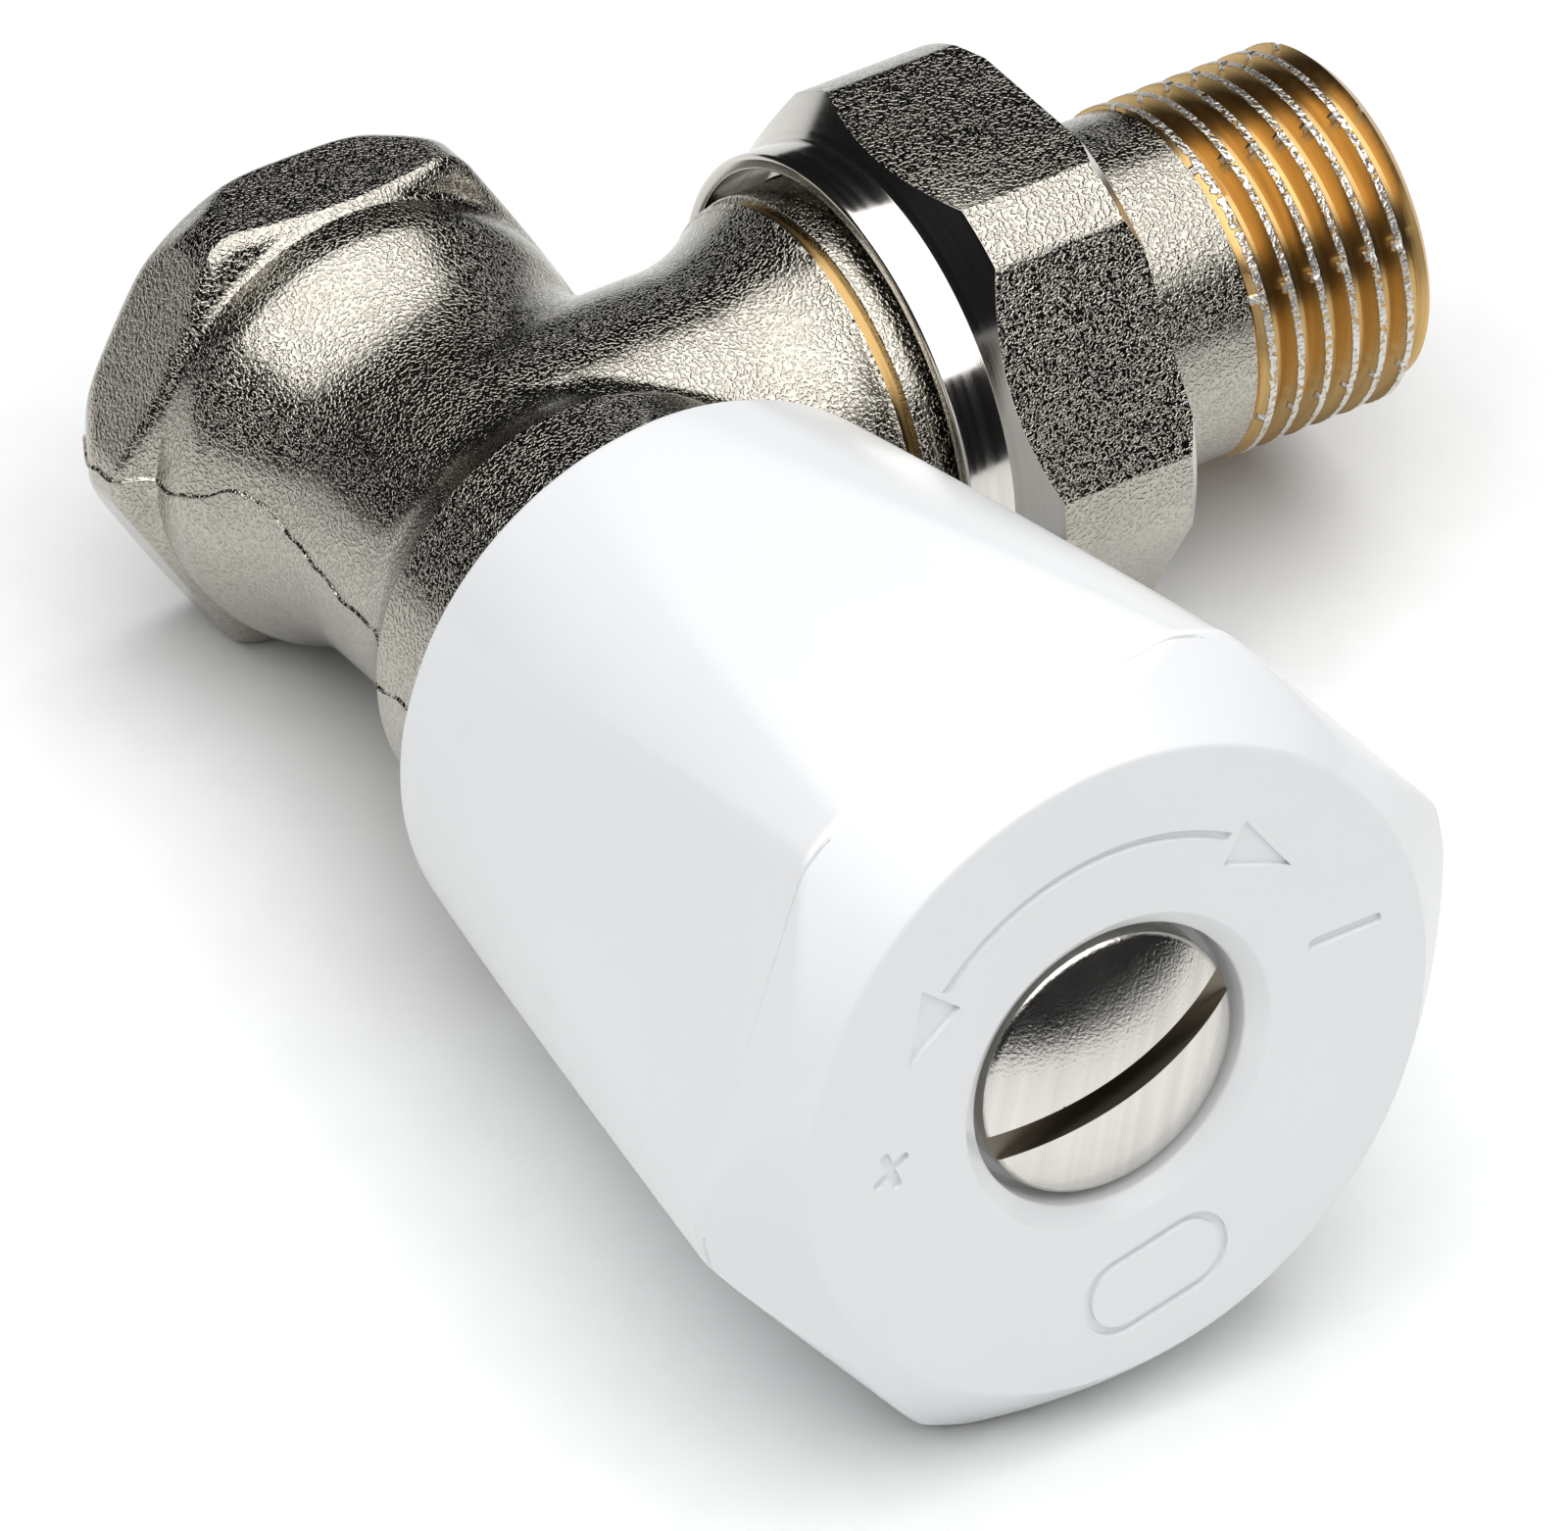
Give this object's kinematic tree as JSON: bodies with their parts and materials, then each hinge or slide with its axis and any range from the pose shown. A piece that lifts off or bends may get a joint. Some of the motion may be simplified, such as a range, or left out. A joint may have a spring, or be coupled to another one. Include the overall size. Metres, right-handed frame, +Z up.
{
  "type": "manual radiator valve",
  "caption": "Angle-pattern manual radiator valve: nickel-plated forged body with a threaded inlet, a union nut and tail at right angles, and a white flared hexagonal hand wheel.",
  "frame": {"origin": "on the inlet axis where the inlet thread begins, just inside the mouth's chamfer", "axes": "+Y out of the inlet mouth (the hand wheel points to -Y), +X out along the union tail, +Z up as the valve lies on its side"},
  "size_m": [0.0779, 0.0835, 0.045],
  "materials": {
    "forged_nickel": "nickel-plated forging, pearled",
    "turned_nickel": "nickel-plated, turned collar and grained flats",
    "tail_nickel": "nickel-plated, machined thread with a golden cast",
    "bare_brass": "machined brass",
    "bright_nickel": "polished nickel plate",
    "white_plastic": "glossy white moulding",
    "white_polymer": "turned fluoropolymer",
    "black_rubber": "moulded seal rubber",
    "spring_steel": "spring wire"
  },
  "bodies": {
    "valve": {"valve_body": "forged_nickel", "bonnet": "bare_brass", "bonnet_o_ring": "black_rubber", "gland_nut": "bare_brass", "gland_ring": "white_polymer", "stem_o_ring_inner": "black_rubber", "stem_o_ring_outer": "black_rubber"},
    "plug": {"disc_holder": "bare_brass", "disc_seal": "black_rubber", "disc_washer": "bare_brass", "disc_nut": "bare_brass", "holder_ring": "spring_steel"},
    "handle": {"hand_wheel": "white_plastic", "wheel_screw": "bright_nickel", "spindle": "bare_brass"},
    "tail": {"union_tail": "tail_nickel", "tail_o_ring": "black_rubber"},
    "nut": {"union_nut": "turned_nickel"}
  },
  "joints": [
    {"name": "plug_lift", "type": "slide", "parent": "valve", "child": "plug", "axis": [0, -1, 0], "range_m": [0, 0.0048]},
    {"name": "wheel_turn", "type": "hinge", "parent": "plug", "child": "handle", "pos_m": [0, -0.0203, 0], "axis": [0, -1, 0], "range_deg": [0, 1080]},
    {"name": "tail_draw", "type": "slide", "parent": "valve", "child": "tail", "axis": [1, 0, 0], "range_m": [0, 0.0058]},
    {"name": "nut_turn", "type": "hinge", "parent": "tail", "child": "nut", "pos_m": [0.028, -0.0203, 0], "axis": [1, 0, 0], "range_deg": [0, 1080]}
  ],
  "couplings": [
    {"joint": "plug_lift", "follows": "wheel_turn", "m_per_rad": 0.00023873},
    {"joint": "tail_draw", "follows": "nut_turn", "m_per_rad": 0.00028871}
  ]
}
